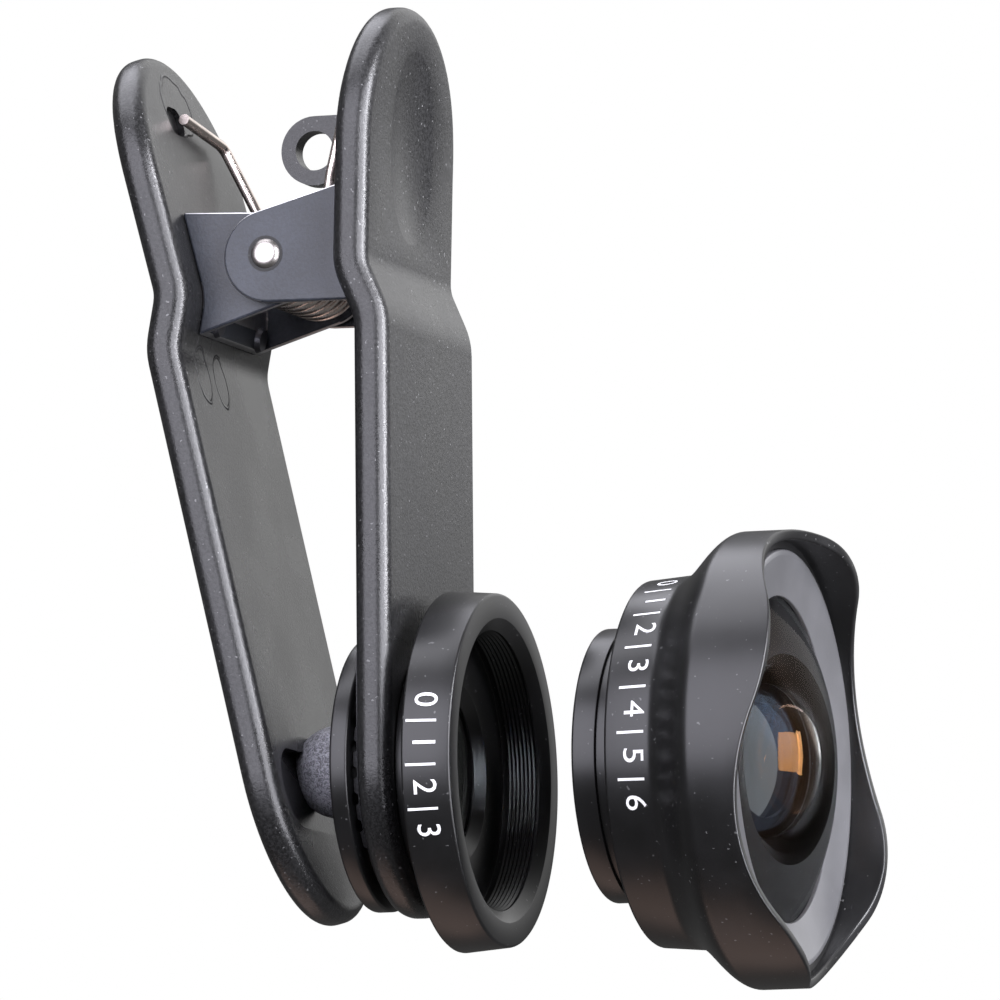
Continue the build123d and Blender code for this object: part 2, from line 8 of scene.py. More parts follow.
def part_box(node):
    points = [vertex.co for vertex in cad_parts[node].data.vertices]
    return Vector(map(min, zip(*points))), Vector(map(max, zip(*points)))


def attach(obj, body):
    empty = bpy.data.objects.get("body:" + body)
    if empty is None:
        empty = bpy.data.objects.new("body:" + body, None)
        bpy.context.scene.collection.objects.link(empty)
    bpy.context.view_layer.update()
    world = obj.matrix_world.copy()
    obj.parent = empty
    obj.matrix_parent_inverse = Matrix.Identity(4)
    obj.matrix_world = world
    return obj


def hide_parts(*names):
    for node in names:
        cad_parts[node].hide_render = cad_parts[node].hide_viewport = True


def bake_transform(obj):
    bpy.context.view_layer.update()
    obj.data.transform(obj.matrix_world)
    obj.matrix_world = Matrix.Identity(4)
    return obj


mm = 0.001
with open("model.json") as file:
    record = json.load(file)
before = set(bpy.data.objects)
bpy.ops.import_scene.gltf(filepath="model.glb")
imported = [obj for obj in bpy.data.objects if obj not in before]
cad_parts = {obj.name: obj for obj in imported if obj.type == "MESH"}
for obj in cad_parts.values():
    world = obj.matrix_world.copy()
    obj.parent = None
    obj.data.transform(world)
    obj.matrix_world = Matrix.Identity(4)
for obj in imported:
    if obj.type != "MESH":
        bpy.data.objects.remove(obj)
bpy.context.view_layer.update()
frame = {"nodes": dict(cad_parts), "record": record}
nodes = frame["nodes"]
scene = bpy.context.scene
scene.view_settings.view_transform = 'Standard'
print("frame loaded,", len(nodes), "nodes")


def deselectAll():
    for obj in bpy.context.selected_objects:
        obj.select_set(False)


def pick(obj):
    deselectAll()
    obj.select_set(True)
    bpy.context.view_layer.objects.active = obj


# Camera, fitted to the arm's edges and the two lens rims (millimetres and degrees)
camera = {
    "focal": 446.97,
    "sensor": 36.0,
    "azimuth": 17.874,
    "elevation": -6.716,
    "roll": -0.49,
    "distance": 1218.48,
    "across": 12.516,      # where the view's centre lies, from the origin
    "up": 27.053,
    "clipStart": 50.0,
    "clipEnd": 20000.0,
}


def makeCamera(settings):
    az, el, roll = (math.radians(settings[key]) for key in ("azimuth", "elevation", "roll"))
    back = Vector((math.sin(az) * math.cos(el), -math.cos(az) * math.cos(el), math.sin(el)))
    level = Vector((math.cos(az), math.sin(az), 0))
    upright = back.cross(level)
    right = level * math.cos(roll) + upright * math.sin(roll)
    up = upright * math.cos(roll) - level * math.sin(roll)
    spot = right * settings["across"] + up * settings["up"] + back * settings["distance"]
    data = bpy.data.cameras.new("photoCamera")
    data.lens = settings["focal"]
    data.sensor_width = settings["sensor"]
    data.clip_start = settings["clipStart"] * mm
    data.clip_end = settings["clipEnd"] * mm
    obj = bpy.data.objects.new("photoCamera", data)
    scene.collection.objects.link(obj)
    turn = Matrix((right, up, back)).transposed()
    obj.matrix_world = Matrix.Translation(spot * mm) @ turn.to_4x4()
    scene.camera = obj


makeCamera(camera)


# Shader maths as Python sums: a Wire holds one output socket
class Wire:
    def __init__(self, shader, socket):
        self.shader = shader
        self.socket = socket

    def maths(self, operation, *terms):
        return self.shader.add('ShaderNodeMath', {"operation": operation}, dict(enumerate(terms)))

    def __add__(self, other):
        return self.maths('ADD', self, other)

    def __sub__(self, other):
        return self.maths('SUBTRACT', self, other)

    def __rsub__(self, other):
        return self.maths('SUBTRACT', other, self)

    def __mul__(self, other):
        return self.maths('MULTIPLY', self, other)

    def __truediv__(self, other):
        return self.maths('DIVIDE', self, other)

    def __pow__(self, other):
        return self.maths('POWER', self, other)

    def __abs__(self):
        return self.maths('ABSOLUTE', self)

    __radd__ = __add__
    __rmul__ = __mul__


# A material or world being built: sizes and depths in millimetres of the object's own coordinates
class Shader:
    def __init__(self, name, world=None):
        self.material = world or bpy.data.materials.new(name)
        self.material.use_nodes = True
        self.tree = self.material.node_tree
        self.tree.nodes.clear()

    def add(self, kind, settings=None, sockets=None, out=0):
        node = self.tree.nodes.new(kind)
        for key, value in (settings or {}).items():
            setattr(node, key, value)
        for key, value in (sockets or {}).items():
            if isinstance(value, Wire):
                self.tree.links.new(value.socket, node.inputs[key])
            else:
                node.inputs[key].default_value = value
        return Wire(self, node.outputs[out]) if len(node.outputs) else node

    def coords(self):
        return self.add('ShaderNodeTexCoord', out="Object")

    def part(self, vector, axis):
        return self.add('ShaderNodeSeparateXYZ', {}, {"Vector": vector}, out=axis)

    def noise(self, size, detail=2.0, where=None, roughness=0.5, distortion=0.0):
        sockets = {"Vector": where or self.coords(), "Scale": 1 / (size * mm),
                   "Detail": detail, "Roughness": roughness, "Distortion": distortion}
        return self.add('ShaderNodeTexNoise', {}, sockets)

    def ramp(self, value, low, high):
        return self.add('ShaderNodeMapRange', {"interpolation_type": 'SMOOTHSTEP'},
                        {"Value": value, "From Min": low, "From Max": high})

    # Sockets 0, 6 and 7 of a colour mix are its factor and its two colours
    def mix(self, share, first, second):
        return self.add('ShaderNodeMix', {"data_type": 'RGBA'}, {0: share, 6: first, 7: second}, out=2)

    def bump(self, height, depth=1.0):
        return self.add('ShaderNodeBump', {}, {"Height": height, "Distance": depth * mm})

    def surface(self, sockets):
        principled = self.add('ShaderNodeBsdfPrincipled', {}, sockets)
        self.add('ShaderNodeOutputMaterial', {}, {"Surface": principled})
        return self.material


def grey(level, tint=(1, 1, 1)):
    return (level * tint[0], level * tint[1], level * tint[2], 1)


# Where a noise passes from one shade to the other, gently or more sharply
softFade = (0.3, 0.7)
firmFade = (0.35, 0.65)


def addDust(s, colour, dust):
    speck = s.ramp(s.noise(dust["size"], detail=0.0), *dust["fade"])
    return s.mix(speck * dust["share"], colour, dust["shade"])


# Moulded arm plastic: satin black with a fine spark-eroded grain and a little dust
armPlastic = {
    "dark": grey(0.006, (1, 1, 1.04)),
    "light": grey(0.022, (1, 1, 1.02)),
    "grain": 0.30,
    "grainRough": 0.7,
    "grainDepth": 0.034,
    "cloud": 9.0,
    "cloudShare": 0.15,
    "roughLow": 0.26,
    "roughHigh": 0.31,
    "dust": {"size": 0.32, "fade": (0.79, 0.83), "share": 0.3, "shade": grey(0.35)},
    "marks": (),
}

# The pad arm's inner face also has moulding rings, each given as Y, Z, half width and half height
markedPlastic = {
    **armPlastic,
    "marks": ((-7.6, 39.4, 1.8, 2.7), (-2.4, 39.2, 1.7, 2.5), (-0.5, 67.4, 4.0, 3.0)),
    "markWidth": 0.10,         # as a share of the ring's half width
    "markDepth": 0.12,
    "markShade": grey(0.10),
    "markShare": 0.25,
    "wander": 2.4,             # size of the noise that bends the rings, and how far it does
    "wanderShare": 0.4,
    "innerFade": (0.3, 0.6),   # the normal's X from which a face is an inner one
}


def drawMark(s, look, inside, mark):
    y, z, halfWidth, halfHeight = mark
    across = (s.part(s.coords(), "Y") / mm - y) / halfWidth
    upward = (s.part(s.coords(), "Z") / mm - z) / halfHeight
    wander = (s.noise(look["wander"], detail=1.0) - 0.5) * look["wanderShare"]
    away = (across * across + upward * upward) ** 0.5 - 1 + wander
    return inside * (1 - s.ramp(abs(away), 0.0, look["markWidth"]))


def makeArmPlastic(name, look):
    s = Shader(name)
    grain = s.noise(look["grain"], detail=3.0, roughness=look["grainRough"])
    cloud = s.noise(look["cloud"])
    blotches = s.ramp(cloud, *firmFade) * look["cloudShare"]
    grains = s.ramp(grain, *firmFade) * (1 - look["cloudShare"])
    colour = addDust(s, s.mix(blotches + grains, look["dark"], look["light"]), look["dust"])
    height = grain * look["grainDepth"]
    if look["marks"]:
        facing = s.add('ShaderNodeTexCoord', out="Normal")
        inside = s.ramp(s.part(facing, "X"), *look["innerFade"])
    for mark in look["marks"]:
        line = drawMark(s, look, inside, mark)
        height = height + line * look["markDepth"]
        colour = s.mix(line * look["markShare"], colour, look["markShade"])
    rough = look["roughLow"] + s.ramp(cloud, *softFade) * (look["roughHigh"] - look["roughLow"])
    return s.surface({"Base Color": colour, "Roughness": rough, "Normal": s.bump(height)})


# Folded sheet brackets: thin satin blue-grey paint, and bare metal where the sheet is cut
bracketPaint = {
    "dark": grey(0.022, (0.88, 1.0, 1.3)),
    "light": grey(0.042, (0.88, 1.0, 1.3)),
    "cut": grey(0.62, (1.0, 0.99, 1.02)),
    "grain": 0.30,
    "grainDepth": 0.02,
    "cloud": 5.0,
    "cloudShare": 0.5,
    "rough": 0.36,
    "roughSpread": 0.12,
}


def makeBracketPaint(name, look):
    s = Shader(name)
    grain = s.noise(look["grain"], detail=3.0)
    cloud = s.noise(look["cloud"])
    blotches = s.ramp(cloud, *softFade) * look["cloudShare"]
    grains = s.ramp(grain, *firmFade) * (1 - look["cloudShare"])
    return s.surface({"Base Color": s.mix(blotches + grains, look["dark"], look["light"]),
                      "Roughness": look["rough"] + grain * look["roughSpread"],
                      "Normal": s.bump(grain, look["grainDepth"])})


# Anodised turnings: near-black aluminium with a soft sheen and faint turning lines
anodised = {
    "dark": grey(0.004, (1, 0.99, 1.0)),
    "light": grey(0.008, (1, 1, 1.05)),
    "metal": 0.0,
    "rough": 0.30,
    "roughSpread": 0.06,
    "cloud": 6.0,
    "lineWidth": 0.05,
    "lineDepth": 0.0012,
    "lineStretch": (1, 0.02, 0.02),        # drawn out round the lens axis
    "dust": {"size": 0.35, "fade": (0.80, 0.84), "share": 0.25, "shade": grey(0.3)},
}

# The front ring is lighter and more metallic, and what lies inside is duller
frontFace = {
    **anodised,
    "dark": grey(0.15, (1, 1, 1.04)),
    "light": grey(0.175, (1, 1, 1.04)),
    "metal": 0.6,
    "rough": 0.26,
    "dust": {**anodised["dust"], "share": 0.2},
}
innerBlack = {
    **anodised,
    "rough": 0.5,
    "dust": {**anodised["dust"], "share": 0.1},
}


def makeAnodised(name, look):
    s = Shader(name)
    lathe = s.add('ShaderNodeMapping', {}, {"Vector": s.coords(), "Scale": look["lineStretch"]})
    lines = s.noise(look["lineWidth"], where=lathe)
    cloud = s.noise(look["cloud"], detail=3.0)
    colour = s.mix(s.ramp(cloud, *softFade), look["dark"], look["light"])
    return s.surface({"Base Color": addDust(s, colour, look["dust"]), "Metallic": look["metal"],
                      "Roughness": look["rough"] + cloud * look["roughSpread"],
                      "Normal": s.bump(lines, look["lineDepth"])})


# Bare metal: clouded, with fine scratches
metal = {
    "cloud": 1.5,
    "darker": 0.82,
    "roughSpread": 0.1,
    "scratch": 0.3,
    "scratchDepth": 0.002,
}


def makeMetal(name, colour, rough):
    s = Shader(name)
    scratches = s.noise(metal["scratch"], detail=4.0)
    cloud = s.noise(metal["cloud"])
    darker = (*(metal["darker"] * channel for channel in colour[:3]), 1)
    return s.surface({"Base Color": s.mix(s.ramp(cloud, *softFade), colour, darker), "Metallic": 1.0,
                      "Roughness": rough + cloud * metal["roughSpread"],
                      "Normal": s.bump(scratches, metal["scratchDepth"])})


# Rubber: shallow folds with a finer grain in them; the colour follows the folds, with painted shade in
# the hollows and a painted sheen on the crests
linerRubber = {"level": 0.03, "grain": 0.3, "depth": 0.01, "rough": 0.6}
padRubber = {"level": 0.30, "grain": 0.36, "depth": 0.16, "rough": 0.32}
rubber = {
    "bend": 1.6,
    "fineSize": 0.35,      # as shares of the folds' size and height
    "fineHeight": 0.25,
    # hollow is the painted shade and crest the painted sheen, each a share of the level and a tint
    "hollow": (0.5, (1, 1, 1.1)),
    "crest": (1.5, (1, 1, 1.12)),
    "roughSpread": 0.1,
}


def makeRubber(name, look):
    s = Shader(name)
    folds = s.noise(look["grain"], distortion=rubber["bend"])
    fine = s.noise(look["grain"] * rubber["fineSize"], detail=3.0)
    paintedShadeAndSheen = [grey(look["level"] * share, tint) for share, tint in (rubber["hollow"], rubber["crest"])]
    # Painted shade where the folds sink and a painted sheen where they rise
    return s.surface({"Base Color": s.mix(s.ramp(folds, *firmFade), *paintedShadeAndSheen),
                      "Roughness": look["rough"] + fine * rubber["roughSpread"],
                      "Normal": s.bump(folds + fine * rubber["fineHeight"], look["depth"])})


# Coated lens glass: each coating throws back its own tint, and quiet glass stays dark when seen aslant
aslantFade = (0.15, 0.6)


def makeGlass(name, coating, index, quiet=0.0):
    s = Shader(name)
    clear = s.add('ShaderNodeBsdfRefraction', {}, {"IOR": index, "Roughness": 0.0})
    coated = s.add('ShaderNodeBsdfPrincipled', {}, {
        "Roughness": 0.0, "IOR": index, "Transmission Weight": 1.0, "Specular Tint": coating,
    })
    aslant = s.ramp(s.add('ShaderNodeLayerWeight', out="Facing"), *aslantFade)
    both = s.add('ShaderNodeMixShader', {}, {0: aslant * quiet, 1: coated, 2: clear})
    s.add('ShaderNodeOutputMaterial', {}, {"Surface": both})
    return s.material


# White pad printing, a little worn
whitePrint = {
    "level": 0.82,
    "worn": 0.8,
    "grain": 0.3,
    "fade": (0.2, 0.4),
    "rough": 0.5,
}


def makePrint(name, look):
    s = Shader(name)
    whole = s.ramp(s.noise(look["grain"], detail=3.0), *look["fade"])
    colour = s.mix(whole, grey(look["level"] * look["worn"]), grey(look["level"]))
    return s.surface({"Base Color": colour, "Roughness": look["rough"]})


finishes = {
    "arm": makeArmPlastic("armPlastic", armPlastic),
    "markedArm": makeArmPlastic("markedPlastic", markedPlastic),
    "bracket": makeBracketPaint("bracketPaint", bracketPaint),
    "cut": makeMetal("cutSteel", bracketPaint["cut"], rough=0.35),
    "anodised": makeAnodised("anodised", anodised),
    "frontFace": makeAnodised("frontFace", frontFace),
    "inner": makeAnodised("innerBlack", innerBlack),
    "spring": makeMetal("springSteel", (0.95, 0.84, 0.78, 1), rough=0.22),
    "pin": makeMetal("nickel", (0.46, 0.43, 0.41, 1), rough=0.3),
    "screw": makeMetal("zinc", (0.16, 0.16, 0.18, 1), rough=0.36),
    "liner": makeRubber("linerRubber", linerRubber),
    "pad": makeRubber("padRubber", padRubber),
    "macroGlass": makeGlass("macroGlass", (0.16, 0.24, 0.18, 1), index=1.6),
    "domeGlass": makeGlass("domeGlass", (1.0, 0.42, 0.10, 1), index=1.6, quiet=0.85),
    "middleGlass": makeGlass("middleGlass", (0.10, 0.24, 0.55, 1), index=1.8),
    "rearGlass": makeGlass("rearGlass", (0.9, 0.6, 0.2, 1), index=1.8),
    "print": makePrint("whitePrint", whitePrint),
}
print("finishes made:", ", ".join(finishes))


def bodyOf(node):
    groups = frame["record"]["behaviour"]["bodies"]
    return next(body for body, members in groups.items() if node in members)


def paint(obj, finishName):
    obj.data.materials.clear()
    obj.data.materials.append(finishes[finishName])


def finish(obj, finishName, node, body=None):
    paint(obj, finishName)
    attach(obj, body or bodyOf(node))
    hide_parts(node)
    return obj


# Meshes: how near two points are joined, and from which angle an edge stays sharp
meshes = {
    "join": 0.001,         # millimetres
    "turnedJoin": 0.002,
    "sharp": 32,           # degrees
    "turnedSharp": 38,
}


def smoothBelow(angle):
    bpy.ops.object.shade_smooth_by_angle(angle=math.radians(angle))


def cleanCopy(node, name, sharp=meshes["sharp"]):
    copy = nodes[node].copy()
    copy.data = nodes[node].data.copy()
    copy.name = name
    for key in list(copy.keys()):
        del copy[key]
    copy.parent = None
    scene.collection.objects.link(copy)
    pick(copy)
    bpy.ops.object.mode_set(mode='EDIT')
    bpy.ops.mesh.select_all(action='SELECT')
    bpy.ops.mesh.remove_doubles(threshold=meshes["join"] * mm)
    bpy.ops.object.mode_set(mode='OBJECT')
    bpy.ops.mesh.customdata_custom_splitnormals_clear()
    smoothBelow(sharp)
    return copy


# Splits the faces that pass the test off an object, and returns them as a new one
def splitOff(obj, name, test):
    pick(obj)
    for poly in obj.data.polygons:
        poly.select = test(poly)
    for part in (*obj.data.edges, *obj.data.vertices):
        part.select = False
    bpy.ops.object.mode_set(mode='EDIT')
    bpy.ops.mesh.select_mode(type='FACE')
    bpy.ops.mesh.separate(type='SELECTED')
    bpy.ops.object.mode_set(mode='OBJECT')
    piece = next(other for other in bpy.context.selected_objects if other is not obj)
    piece.name = name
    return piece


# Turned pieces: an outline of places along and out from the lens axis, each with its rounding, is spun
crisp = 0.05               # the two common roundings
eased = 0.1
turning = {
    "cornerSteps": 4,
    "straight": 1.55,      # half a corner's angle in radians, from which it needs no rounding
    "reachShare": 0.48,    # how much of each neighbouring line a rounding may take
    "steps": 128,
    "fineSteps": 160,
    "hoodSteps": 192,
    "lensSteps": 96,
    "pinSteps": 64,
}


def roundCorners(outline, closed=True, steps=turning["cornerSteps"]):
    points = []
    count = len(outline)
    for index, (x, r, rounding) in enumerate(outline):
        here = Vector((x, r))
        if not rounding or (not closed and index in (0, count - 1)):
            points.append(here)
            continue
        before = Vector(outline[index - 1][:2]) - here
        after = Vector(outline[(index + 1) % count][:2]) - here
        half = before.angle(after) / 2
        if half > turning["straight"]:
            points.append(here)
            continue
        longest = turning["reachShare"] * min(before.length, after.length)
        reach = min(rounding / math.tan(half), longest)
        radius = reach * math.tan(half)
        inward = (before.normalized() + after.normalized()).normalized()
        middle = here + inward * (radius / math.sin(half))
        start = here + before.normalized() * reach - middle
        end = here + after.normalized() * reach - middle
        sweep = start.angle_signed(end)
        for step in range(steps + 1):
            turn = Matrix.Rotation(-sweep * step / steps, 2)
            points.append(middle + turn @ start)
    return points


def turnPiece(name, points, closed=True, steps=turning["steps"], sharp=meshes["turnedSharp"]):
    deselectAll()
    bpy.ops.mesh.primitive_plane_add(size=mm, location=(0, 0, 0))
    obj = bpy.context.object
    obj.name = name
    bpy.ops.object.mode_set(mode='EDIT')
    bpy.ops.mesh.select_mode(type='VERT')
    bpy.ops.mesh.select_all(action='SELECT')
    bpy.ops.mesh.merge(type='CENTER')
    line = list(points) + ([points[0]] if closed else [])
    bpy.ops.transform.translate(value=(line[0][0] * mm, 0, line[0][1] * mm))
    for start, end in zip(line, line[1:]):
        step = ((end[0] - start[0]) * mm, 0, (end[1] - start[1]) * mm)
        bpy.ops.mesh.extrude_region_move(TRANSFORM_OT_translate={"value": step})
    bpy.ops.mesh.select_all(action='SELECT')
    bpy.ops.mesh.spin(steps=steps, angle=math.tau, center=(0, 0, 0), axis=(1, 0, 0))
    bpy.ops.mesh.select_all(action='SELECT')
    bpy.ops.mesh.remove_doubles(threshold=meshes["turnedJoin"] * mm)
    bpy.ops.mesh.normals_make_consistent(inside=False)
    bpy.ops.object.mode_set(mode='OBJECT')
    smoothBelow(sharp)
    return obj


# Pieces that keep the CAD's own surfaces: name, finish and slot
carried = {
    "lens_arm": ("lensArm", "arm", "arm"),
    "pad_arm": ("padArm", "markedArm", "arm"),
    "outer_bracket_screws": ("outerScrews", "screw", "screw"),
    "inner_bracket_screws": ("innerScrews", "screw", "screw"),
    "grip_liner": ("gripLiner", "liner", "liner"),
    "rubber_pad": ("rubberPad", "pad", "pad"),
    "macro_retainer": ("macroRetainer", "anodised", "inner_metal"),
    "macro_spacer": ("macroSpacer", "inner", "inner_metal"),
    "wide_rear_retainer": ("wideRearRetainer", "inner", "inner_metal"),
    "light_stop": ("lightStop", "inner", "inner_metal"),
    "wide_spacer": ("wideSpacer", "inner", "inner_metal"),
}
for node, (name, finishName, slot) in carried.items():
    finish(cleanCopy(node, name), finishName, node)
print("CAD pieces carried over")

# Brackets: the sheet's broad faces painted, its cut edges bare, every sharp edge broken a little
brackets = {
    "names": {"outer_bracket": "outerBracket", "inner_bracket": "innerBracket"},
    "edgeBreak": 0.26,
    "breakSteps": 3,
    "sharp": 60,           # degrees, from which an edge is broken
    "flatness": 1.0,       # degrees, below which neighbouring faces are one plane
    "cutShare": 0.5,       # area over outline, less than this on a cut edge
    "planeDigits": 2,      # to which two faces count as one plane
}


def joinFlatFaces(sheet, flatness):
    pick(sheet)
    bpy.ops.object.mode_set(mode='EDIT')
    bpy.ops.mesh.select_all(action='SELECT')
    bpy.ops.mesh.dissolve_limited(angle_limit=math.radians(flatness))
    bpy.ops.object.mode_set(mode='OBJECT')


# A face is a cut one unless its plane also holds a broad face
def bareCutFaces(sheet, settings):
    spots = [vertex.co for vertex in sheet.data.vertices]
    planes = []
    broad = set()
    for poly in sheet.data.polygons:
        outline = sum((spots[a] - spots[b]).length for a, b in poly.edge_keys)
        plane = (*poly.normal, poly.normal.dot(poly.center) / mm)
        planes.append(tuple(round(value, settings["planeDigits"]) for value in plane))
        if poly.area / outline > settings["cutShare"] * mm:
            broad.add(planes[-1])
    sheet.data.materials.append(finishes["cut"])
    for poly, plane in zip(sheet.data.polygons, planes):
        poly.material_index = 0 if plane in broad else 1


def breakEdges(sheet, settings):
    edge = sheet.modifiers.new("edgeBreak", 'BEVEL')
    edge.width = settings["edgeBreak"] * mm
    edge.segments = settings["breakSteps"]
    edge.use_clamp_overlap = False
    edge.limit_method = 'ANGLE'
    edge.angle_limit = math.radians(settings["sharp"])
    bpy.ops.object.modifier_apply(modifier=edge.name)
    smoothBelow(meshes["sharp"])


for node, name in brackets["names"].items():
    bracket = cleanCopy(node, name)
    joinFlatFaces(bracket, brackets["flatness"])
    finish(bracket, "bracket", node)
    bareCutFaces(bracket, brackets)
    breakEdges(bracket, brackets)
print("brackets finished")

# Hinge pin: a domed head on the near side, a flat upset end on the far side
pin = {
    "x": -7.1,
    "z": 50.7,
    "radius": 1.25,
    "headRadius": 1.5,
    "half": 10.7,
    "dome": 0.42,
    "domeSteps": 8,
    "domePower": 6,        # how squarely the dome turns down at its rim
    "farShoulder": (0.7, 0.95, 0.2),       # shares of the dome and the head's radius, and the rounding
    "shadeRingRadius": 1.78,     # dark ring of painted shade round the head, standing in for the shadowed gap in the near ear
    "shadeRingProud": 0.03,
    "shadeRingOverlap": 0.1,
}


def layAlongHinge(obj, size):
    pick(obj)
    bpy.ops.object.mode_set(mode='EDIT')
    bpy.ops.mesh.select_all(action='SELECT')
    bpy.ops.transform.rotate(value=math.radians(-90), orient_axis='Z', center_override=(0, 0, 0))
    bpy.ops.transform.translate(value=(size["x"] * mm, 0, size["z"] * mm))
    bpy.ops.object.mode_set(mode='OBJECT')
    return obj


def makePin(size):
    length, dome, head = size["half"], size["dome"], size["headRadius"]
    domeShare, headShare, rounding = size["farShoulder"]
    outline = [(-length - dome, 0, 0)]
    for step in range(1, size["domeSteps"] + 1):
        share = step / size["domeSteps"]
        outline.append((-length - dome * (1 - share ** size["domePower"]), head * share, 0))
    outline += [
        (-length, size["radius"], 0), (length, size["radius"], 0), (length, head, 0),
        (length + dome * domeShare, head * headShare, rounding), (length + dome, 0, 0),
    ]
    points = roundCorners(outline, closed=False)
    return layAlongHinge(turnPiece("hingePin", points, closed=False, steps=turning["pinSteps"]), size)


# A thin dark ring laid on the near ear round the pin head: painted shade for the shadowed gap in its hole
def makePinShadeRing(size):
    low, high = -size["half"] - size["shadeRingProud"], -size["half"] + size["shadeRingProud"]
    inner, outer = size["headRadius"] - size["shadeRingOverlap"], size["shadeRingRadius"]
    outline = [(low, inner, 0), (low, outer, 0), (high, outer, 0), (high, inner, 0)]
    return layAlongHinge(turnPiece("pinShadeRing", roundCorners(outline), steps=turning["pinSteps"]), size)


finish(makePin(pin), "pin", "hinge_pin")
# The dark ring round the pin head is painted shade, finished in the inner black
finish(makePinShadeRing(pin), "inner", "hinge_pin")

# Torsion spring: the coil stays unattached between the two sides, and each leg goes with its own handle
spring = {
    "coilRadius": 4.1,
    "wireRadius": 0.55,
    "margin": 0.12,        # past the coil's outside, from where the wire is a leg
    "coilHalf": 6.3,
    "ease": 0.3,           # length at each end of the coil that doesn't wind
    "sharp": 60,
}


def makeSpring(size):
    wire = cleanCopy("torsion_spring", "springCoil", size["sharp"])
    axis = Vector((pin["x"] * mm, 0, pin["z"] * mm))
    coilReach = size["coilRadius"] + size["wireRadius"] + size["margin"]

    def isLeg(poly):
        away = poly.center - axis
        return math.hypot(away.x, away.z) > coilReach * mm

    lensLeg = splitOff(wire, "lensLeg", isLeg)
    padLeg = splitOff(lensLeg, "padLeg", lambda poly: poly.center.x < axis.x)
    finish(lensLeg, "spring", "torsion_spring", "lens_side")
    finish(padLeg, "spring", "torsion_spring", "pad_side")
    paint(wire, "spring")
    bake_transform(wire)
    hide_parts("torsion_spring")


makeSpring(spring)
print("pin and spring made")

# Clamp flange
flange = {
    "radius": 13.47,
    "thickness": 1.86,
    "lip": 0.6,
    "opening": 8.8,
    "bore": 10.6,
    "edge": 0.3,
}


def makeFlange(size):
    outline = [
        (0, size["opening"], eased), (0, size["radius"], size["edge"]),
        (size["thickness"], size["radius"], size["edge"]), (size["thickness"], size["bore"], crisp),
        (size["lip"], size["bore"], 0), (size["lip"], size["opening"], eased),
    ]
    return turnPiece("clampFlange", roundCorners(outline))


finish(makeFlange(flange), "anodised", "clamp_flange")

# Macro barrel: threaded sleeve, neck, outer ring and the socket for the wide lens
macro = {
    "sleeveRear": 0.65,
    "sleeveRadius": 10.5,
    "armFront": 6.45,
    "neckRadius": 12.4,
    "neckRound": 0.2,
    "ringRear": 8.74,
    "ringFront": 13.64,
    "rearRadius": 17.75,
    "frontRadius": 17.34,
    "mouthRadius": 14.9,
    "mouthDepth": 0.9,
    "socketRadius": 13.75,
    "socketFloor": 8.95,
    "reliefRadius": 14.0,
    "reliefDepth": 0.7,
    "cellRadius": 8.6,
    "cellFloor": 2.4,
    "cellLip": 6.4,
    "threadPitch": 0.38,
    "threadDepth": 0.2,
    "threadEnds": 0.1,     # plain length before and after the thread
    "threadRound": 0.03,
    "threadStop": 0.02,
    "edge": 0.28,
    "mouthEdge": 0.12,
    "cornerSteps": 3,
}


# Thread drawn as rings: the crest lies a quarter of the way along each pitch, and the root three quarters
def threadLines(start, end, size):
    count = int(abs(end - start) / size["threadPitch"])
    pitch = (end - start) / count
    crest = size["socketRadius"]
    root = crest + size["threadDepth"]
    points = []
    for turn in range(count):
        x = start + turn * pitch
        points.append((x + pitch / 4, crest, size["threadRound"]))
        points.append((x + pitch * 3 / 4, root, size["threadRound"]))
    return points


def makeMacroBarrel(size):
    socketTop = size["ringFront"] - size["mouthDepth"]
    relief = size["socketFloor"] + size["reliefDepth"]
    outline = [
        (size["sleeveRear"], size["cellLip"], eased), (size["sleeveRear"], size["sleeveRadius"], eased),
        (size["armFront"], size["sleeveRadius"], 0), (size["armFront"], size["neckRadius"], eased),
        (size["ringRear"], size["neckRadius"], size["neckRound"]),
        (size["ringRear"], size["rearRadius"], size["edge"]),
        (size["ringFront"], size["frontRadius"], size["edge"]),
        (size["ringFront"], size["mouthRadius"], size["mouthEdge"]),
        (socketTop, size["socketRadius"], crisp),
    ]
    outline += threadLines(socketTop - size["threadEnds"], relief + size["threadEnds"], size)
    outline += [
        (relief, size["socketRadius"], size["threadStop"]), (relief, size["reliefRadius"], crisp),
        (size["socketFloor"], size["reliefRadius"], crisp),
        (size["socketFloor"], size["cellRadius"], size["mouthEdge"]),
        (size["cellFloor"], size["cellRadius"], 0), (size["cellFloor"], size["cellLip"], crisp),
    ]
    points = roundCorners(outline, steps=size["cornerSteps"])
    return turnPiece("macroBarrel", points, steps=turning["fineSteps"])


finish(makeMacroBarrel(macro), "anodised", "macro_barrel")

# Wide lens mount with its groove
mount = {
    "rear": 24.64,
    "radius": 13.4,
    "threadEnd": 27.07,
    "grooveRadius": 13.0,
    "barrelRear": 29.31,
    "spigotRadius": 12.0,
    "spigotEnd": 31.11,
    "bore": 10.6,
    "lipRadius": 8.8,
    "lipRear": 29.76,
    "edge": 0.3,
    "boreEdge": 0.15,
    "grooveEdge": 0.12,
}


def makeMount(size):
    outline = [
        (size["rear"], size["bore"], size["boreEdge"]), (size["rear"], size["radius"], size["edge"]),
        (size["threadEnd"], size["radius"], size["grooveEdge"]),
        (size["threadEnd"], size["grooveRadius"], crisp),
        (size["barrelRear"], size["grooveRadius"], crisp),
        (size["barrelRear"], size["spigotRadius"], 0), (size["spigotEnd"], size["spigotRadius"], 0),
        (size["spigotEnd"], size["lipRadius"], 0), (size["lipRear"], size["lipRadius"], 0),
        (size["lipRear"], size["bore"], 0),
    ]
    return turnPiece("wideMount", roundCorners(outline), steps=turning["fineSteps"])


finish(makeMount(mount), "anodised", "wide_mount")

